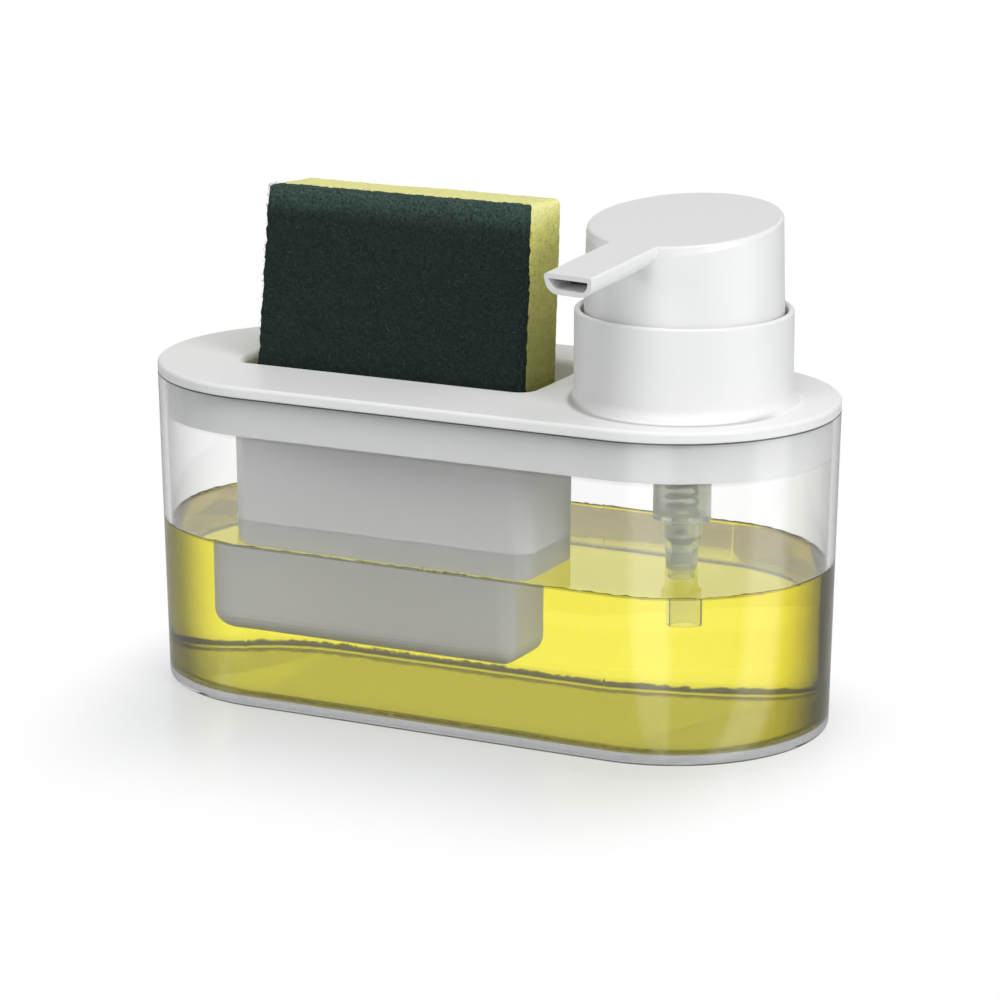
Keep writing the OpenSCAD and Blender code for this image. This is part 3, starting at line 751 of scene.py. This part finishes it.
class CADDY_OT_pump(bpy.types.Operator):
    """Translucent pump housing and dip tube, with the cap, piston, valve ball and spring inside"""

    bl_idname = "caddy.pump"
    bl_label = "Pump"

    def execute(self, context):
        natural = plastic(
            "natural_translucent", (0.78, 0.80, 0.68), (0.84, 0.86, 0.75), 0.2, clear=0.8, ior=1.45
        )
        lamp_pass(natural, (0.6, 0.62, 0.6))
        dress("pump_housing", natural)
        tube = plastic(
            "clear_tube", (0.93, 0.94, 0.92), (0.96, 0.97, 0.95), 0.12, clear=0.9, ior=1.1
        )
        lamp_pass(tube, (0.9, 0.92, 0.9))
        dress("dip_tube", tube)
        dress("housing_cap", plastic("cap_white", (0.72, 0.72, 0.72), (0.78, 0.78, 0.78), 0.35))
        dress("piston", plastic("piston_natural", (0.66, 0.68, 0.66), (0.74, 0.76, 0.74), 0.5))
        dress("valve_ball", steel("valve_ball_steel", 0.12, 0.62))

        wire = steel("return_spring_steel", 0.3, 0.5)
        dress("return_spring", wire)
        coil = bmesh.new()
        coil.from_mesh(nodes["return_spring"].data)
        bmesh.ops.remove_doubles(coil, verts=coil.verts, dist=0.001 * MM)
        spring = new_object("spring_coil", coil, wire)
        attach(spring, "lid_assembly")
        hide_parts("return_spring")
        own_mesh(spring)
        return {"FINISHED"}


def sponge_place(co):
    """Moves a point of the upright sponge: in towards the top, and back where it leans."""
    rise = (co.z - pad_low.z) / (SPONGE_TOP - pad_low.z)
    width = pad_high.x - pad_low.x
    bend = min(max((co.z - LID_TOP) / SPONGE_BEND + 0.5, 0), 1)
    lean = SPONGE_LEAN * bend * bend * (3 - 2 * bend)
    back, up = co.y - pad_low.y, co.z - LID_TOP
    return Vector(
        (
            pad_high.x - (pad_high.x - co.x) * (1 - SPONGE_TAPER * rise / width),
            pad_low.y + back * math.cos(lean) + up * math.sin(lean),
            LID_TOP + up * math.cos(lean) - back * math.sin(lean),
        )
    )


def sponge_layer(front, back, step, edge_r, open_side):
    """One layer of the sponge with its outer edges rounded; open_side is the side that is glued."""
    low = Vector((pad_low.x, front, pad_low.z))
    high = Vector((pad_high.x, back, SPONGE_TOP))
    bm = grid_block(low, high, step)
    inner_low = low + Vector((edge_r,) * 3)
    inner_high = high - Vector((edge_r,) * 3)
    if open_side > 0:
        inner_high.y = high.y + 1
    else:
        inner_low.y = low.y - 1
    for v in bm.verts:
        near = Vector([min(max(v.co[i], inner_low[i]), inner_high[i]) for i in range(3)])
        out = v.co - near
        if out.length > edge_r:
            v.co = near + out.normalized() * edge_r
        v.co = sponge_place(v.co)
    bmesh.ops.recalc_face_normals(bm, faces=bm.faces)
    bm.normal_update()
    return bm


def open_foam(colour):
    """Cellular foam: painted shade darkens its cells and its lower part towards its foot, and
    painted light makes it pale along its crest.
    """
    mat, tree, shader, where = new_material(
        "open_foam", Roughness=0.95, Specular_IOR_Level=0.15
    )
    cells = add(
        tree, "ShaderNodeTexVoronoi", {"feature": "F1"}, Vector=where, Scale=1300.0
    ).outputs["Distance"]
    walls = add(
        tree, "ShaderNodeTexVoronoi", {"feature": "DISTANCE_TO_EDGE"}, Vector=where, Scale=1900.0
    ).outputs["Distance"]
    patches = mottled(
        tree, where, Size=420.0, Contrast=2.2, Low=toned(colour, 0.80), High=toned(colour, 1.12)
    )
    # Painted shade: the foam is darker in its cells
    shade = add(
        tree,
        "ShaderNodeMapRange",
        Value=cells,
        From_Min=0.15,
        From_Max=0.5,
        To_Min=0.70,
        To_Max=1.0,
    )
    tint = add(
        tree,
        "ShaderNodeMix",
        {"data_type": "RGBA", "blend_type": "MULTIPLY"},
        i0=0.8,
        i6=patches["Color"],
        i7=shade.outputs[0],
    )
    height = split(tree, where)["Z"]
    # Painted shade: the foam darkens towards its foot
    foot_shade = ramp(tree, height, LID_TOP, SPONGE_TOP, 0.8, 0.0)
    shaded_foam = blend(tree, foot_shade, tint.outputs[2], toned(colour, 0.25))
    # Painted light: the foam is paler along its crest
    crest_light = ramp(tree, height, SPONGE_TOP - 9 * MM, SPONGE_TOP - 1 * MM, 0.0, 0.7)
    pores = relief(tree, maths(tree, "ADD", cells, walls), 0.7, 0.3 * MM)
    body = blend(tree, crest_light, shaded_foam, (0.96, 0.955, 0.44, 1))
    fill(tree, shader, Base_Color=body, Normal=pores)
    return mat


class CADDY_OT_foam(bpy.types.Operator):
    """Yellow cellular foam of the sponge, with open cells on its faces"""

    bl_idname = "caddy.foam"
    bl_label = "Sponge foam"

    def execute(self, context):
        bm = sponge_layer(foam_low.y, foam_low.y + FOAM_DEPTH, FOAM_STEP, FOAM_EDGE_R, -1)
        for v in bm.verts:
            if v.normal.y < -0.8:
                continue
            near = noise.voronoi(v.co * 900)[0]
            pit = max(0.0, 1 - near[0] / 0.42)
            wall = min(1.0, (near[1] - near[0]) * 2.2)
            big = noise.voronoi(v.co * 210 + Vector((7, 3, 1)))[0][0]
            sag = 0.35 * noise.noise(v.co * 38)
            depth = 0.24 * pit + 0.12 * wall + (0.3 * max(0.0, 1 - big / 0.25)) - sag
            v.co -= v.normal * (depth * MM)
        foam = new_object("foam_block", bm, open_foam(settings().foam_colour))
        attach(foam, "sponge")
        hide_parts("sponge_foam")
        return {"FINISHED"}


def matted_fibre(colour):
    """Matted scouring fibre, with painted light making it paler along its top."""
    mat, tree, shader, where = new_material(
        "matted_fibre", Roughness=0.8, Specular_IOR_Level=0.15
    )
    patches = mottled(
        tree, where, Size=1500.0, Contrast=3.0, Low=toned(colour, 0.5), High=toned(colour, 1.6)
    )
    height = split(tree, where)["Z"]
    # Painted light: the fibre is paler along its top
    top_light = ramp(tree, height, SPONGE_TOP - 9 * MM, SPONGE_TOP, 0.0, 0.75)
    tips = maths(tree, "MULTIPLY_ADD", patches["Mask"], 1.3, 0.25)
    top_light = maths(tree, "MULTIPLY", top_light, tips, clamp=True)
    pale = blend(tree, top_light, patches["Color"], toned(colour, 5.5))
    strands = relief(tree, clouds(tree, where, 2600.0, 3.0, Distortion=1.5), 0.9, 0.3 * MM)
    fill(tree, shader, Base_Color=pale, Normal=strands)
    return mat


def loose_fibre(colour):
    """Single fibres, each of its own tone."""
    mat, tree, shader, where = new_material("loose_fibre", Roughness=0.5)
    tone = mottled(
        tree, where, Size=900.0, Contrast=3.0, Low=toned(colour, 0.6), High=toned(colour, 5.0)
    )
    fill(tree, shader, Base_Color=tone["Color"])
    return mat


def fibre_layer(count):
    """Loose curved fibres that lie on the pad: most on its front, the rest on its top and sides."""
    rod = bmesh.new()
    bmesh.ops.create_cone(rod, segments=3, radius1=0.034, radius2=0.022, depth=1)
    lengthwise = [e for e in rod.edges if abs(e.verts[0].co.z - e.verts[1].co.z) > 0.5]
    bmesh.ops.subdivide_edges(rod, edges=lengthwise, cuts=2)
    for v in rod.verts:
        v.co.x += 0.2 * (0.25 - v.co.z**2)
        v.co.y += 0.08 * math.sin(v.co.z * 5)
    strand = new_mesh("strand", rod)
    spread = random.Random(23)
    bm = bmesh.new()
    size = Vector((pad_high.x - pad_low.x, foam_low.y - pad_low.y, SPONGE_TOP - pad_low.z))
    for _ in range(count):
        face = spread.random()
        u, w = spread.random(), spread.random()
        x = pad_low.x + size.x * u
        z = pad_low.z + size.z * w
        if face < 0.74:
            at = Vector((x, pad_low.y + spread.uniform(-0.1, 0.4) * MM, z))
            flat = Vector((0, -1, 0))
        elif face < 0.84:
            at = Vector((x, pad_low.y + size.y * w, SPONGE_TOP - 0.1 * MM))
            flat = Vector((0, 0, 1))
        else:
            side = face < 0.92
            at = Vector((pad_high.x if side else pad_low.x, pad_low.y + size.y * u, z))
            flat = Vector((1 if side else -1, 0, 0))
        aim = Vector([spread.gauss(0, 1) for _ in range(3)])
        aim -= aim.dot(flat) * flat * spread.uniform(0.55, 1.0)
        turn = aim.to_track_quat("Z", "Y").to_matrix().to_4x4()
        length = Matrix.Scale(spread.uniform(0.7, 1.8) * MM, 4)
        stamp(bm, strand, Matrix.Translation(sponge_place(at)) @ turn @ length)
    bpy.data.meshes.remove(strand)
    return bm


class CADDY_OT_pad(bpy.types.Operator):
    """Dark green scouring pad of matted fibres, with loose ones on its faces and edges"""

    bl_idname = "caddy.pad"
    bl_label = "Scouring pad"

    def execute(self, context):
        s = settings()
        bm = sponge_layer(pad_low.y, foam_low.y, PAD_STEP, PAD_EDGE_R, 1)
        for v in bm.verts:
            if v.normal.y > 0.8:
                continue
            tuft = noise.noise(v.co * 700) + 0.6 * noise.noise(v.co * 1700)
            clump = noise.noise(v.co * 170 + Vector((3, 1, 9)))
            v.co += v.normal * ((0.34 * tuft + 0.24 * clump - 0.08) * MM)
        pad = new_object("pad_block", bm, matted_fibre(s.pad_colour))
        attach(pad, "sponge")
        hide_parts("scour_pad")

        fibres = new_object("pad_fibres", fibre_layer(s.fibres), loose_fibre(s.pad_colour))
        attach(fibres, "sponge")
        return {"FINISHED"}


def studio_floor():
    """Pale floor that looks white away from the tank, with light strips that only gloss sees."""
    mat, tree, shader, where = new_material(
        "studio_floor",
        Base_Color=(*settings().floor_colour, 1),
        Roughness=0.22,
        Specular_IOR_Level=0.3,
    )
    place = split(tree, where)
    side = maths(tree, "ABSOLUTE", place["X"])
    beyond = maths(tree, "SUBTRACT", side, STRAIGHT_HALF, clamp=True)
    nearer = ramp(tree, place["Y"], -10 * MM, 10 * MM, 0.5, 1.0)
    ahead = maths(tree, "MULTIPLY", place["Y"], nearer)
    away = span(tree, add(tree, "ShaderNodeCombineXYZ", i0=beyond, i1=ahead).outputs[0])
    fade = ramp(tree, away, 0.4 * TANK_R, TANK_R + 22 * MM, 0.3, 1.0)

    across = maths(tree, "SUBTRACT", place["X"], STRIP_CENTRE.x)
    turn = maths(tree, "ARCTAN2", across, maths(tree, "SUBTRACT", STRIP_CENTRE.y, place["Y"]))
    strips = []
    for start, stop in STRIPS:
        low, high = math.radians(start - STRIP_EDGE), math.radians(start + STRIP_EDGE)
        rise = ramp(tree, turn, low, high, 0.0, 1.0)
        low, high = math.radians(stop - STRIP_EDGE), math.radians(stop + STRIP_EDGE)
        fall = ramp(tree, turn, low, high, 1.0, 0.0)
        strips.append(maths(tree, "MULTIPLY", rise, fall))
    shown = maths(tree, "MULTIPLY_ADD", maths(tree, "MAXIMUM", *strips), 2.2, 0.5)

    rays = looks_at(tree)
    flags = ramp(tree, side, 0.28, 0.55, 1.06, 0.7)
    bright = maths(tree, "MULTIPLY_ADD", rays["through"], flags, rays["camera"])
    bright = maths(tree, "ADD", maths(tree, "MULTIPLY", rays["gloss"], shown), bright)
    glow = add(tree, "ShaderNodeEmission", Color=WHITE, Strength=bright)
    seen = maths(tree, "ADD", rays["gloss"], rays["through"])
    seen = maths(tree, "ADD", rays["camera"], seen, clamp=True)
    share = maths(tree, "MAXIMUM", fade, maths(tree, "MULTIPLY", rays["through"], 0.72))
    mix_surface(tree, maths(tree, "MULTIPLY", share, seen), shader, glow)
    return mat


def studio_world():
    """White surroundings for straight looks, gloss and clear pieces, and dim light for the rest."""
    world = bpy.data.worlds.new("studio")
    world.use_nodes = True
    tree = world.node_tree
    tree.nodes.clear()
    where = add(tree, "ShaderNodeTexCoord").outputs["Generated"]
    side = maths(tree, "ABSOLUTE", split(tree, where)["X"])
    rays = looks_at(tree)
    clear = ramp(tree, side, 0.78, 1.0, 1.06, 0.7)
    clear = maths(tree, "MULTIPLY", clear, rays["through"])
    seen = maths(tree, "MULTIPLY_ADD", rays["gloss"], 0.7, rays["camera"])
    seen = maths(tree, "ADD", clear, seen)
    looks = maths(tree, "ADD", rays["camera"], rays["gloss"])
    looks = maths(tree, "ADD", looks, maths(tree, "ADD", rays["through"], rays["counted"]))
    other = maths(tree, "SUBTRACT", 1.0, looks, clamp=True)
    lit = ramp(tree, side, 0.72, 0.98, 0.22, 0.16)
    level = maths(tree, "MULTIPLY_ADD", lit, other, seen)
    light = add(tree, "ShaderNodeBackground", Color=WHITE, Strength=level)
    add(tree, "ShaderNodeOutputWorld", Surface=light.outputs[0])
    return world


def studio_lamps(scene):
    """Soft lamps that clear pieces don't show."""
    for name, place, size, power in LAMPS:
        data = bpy.data.lights.new(name, "AREA")
        data.shape = "RECTANGLE"
        data.size, data.size_y = size
        data.energy = power
        lamp = bpy.data.objects.new(name, data)
        scene.collection.objects.link(lamp)
        lamp.visible_transmission = False
        lamp.visible_glossy = name != "rear_lamp"
        lamp.location = place
        lamp.rotation_euler = (LAMP_AIM - lamp.location).to_track_quat("-Z", "Y").to_euler()


def studio_camera(scene):
    """The camera at the photograph's viewing angle."""
    back = Vector(
        (
            math.sin(CAMERA_AZIMUTH) * math.cos(CAMERA_ELEVATION),
            -math.cos(CAMERA_AZIMUTH) * math.cos(CAMERA_ELEVATION),
            math.sin(CAMERA_ELEVATION),
        )
    )
    data = bpy.data.cameras.new("camera")
    data.sensor_width = 36.0
    data.lens = 144.0
    data.clip_start, data.clip_end = 0.05, 20.0
    camera = bpy.data.objects.new("camera", data)
    scene.collection.objects.link(camera)
    camera.location = back * CAMERA_DISTANCE
    camera.rotation_euler = (CAMERA_AIM - camera.location).to_track_quat("-Z", "Y").to_euler()
    scene.camera = camera


class CADDY_OT_stage(bpy.types.Operator):
    """Pale floor, white surroundings, soft studio lamps and the camera"""

    bl_idname = "caddy.stage"
    bl_label = "Stage"

    def execute(self, context):
        scene = context.scene
        bm = bmesh.new()
        bmesh.ops.create_circle(bm, cap_ends=True, segments=96, radius=FLOOR_R)
        floor = new_object("studio_floor", bm, studio_floor())
        scene.world = studio_world()
        studio_lamps(scene)
        studio_camera(scene)
        scene.view_settings.view_transform = "Standard"
        return {"FINISHED"}


class CADDY_PT_panel(bpy.types.Panel):
    """Lists the caddy's pieces and finishes"""

    bl_idname = "CADDY_PT_panel"
    bl_label = "Soap pump caddy"
    bl_space_type = "VIEW_3D"
    bl_region_type = "UI"
    bl_category = "Caddy"

    def draw(self, context):
        column = self.layout.column()
        for name in CaddySettings.__annotations__:
            column.prop(context.scene.caddy_settings, name)
        for piece in PIECES:
            column.operator(piece.bl_idname)


PIECES = (
    CADDY_OT_tank,
    CADDY_OT_soap,
    CADDY_OT_lid,
    CADDY_OT_head,
    CADDY_OT_pump,
    CADDY_OT_foam,
    CADDY_OT_pad,
    CADDY_OT_stage,
)
CLASSES = (CaddySettings, *PIECES, CADDY_PT_panel)


def register():
    """Registers the classes and gives the scene its settings."""
    for cls in CLASSES:
        bpy.utils.register_class(cls)
    bpy.types.Scene.caddy_settings = bpy.props.PointerProperty(type=CaddySettings)


def unregister():
    """Undoes register."""
    del bpy.types.Scene.caddy_settings
    for cls in reversed(CLASSES):
        bpy.utils.unregister_class(cls)


def main():
    """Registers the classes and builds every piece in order."""
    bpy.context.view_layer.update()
    register()
    for piece in PIECES:
        group, name = piece.bl_idname.split(".")
        getattr(getattr(bpy.ops, group), name)()


if __name__ == "__main__":
    main()
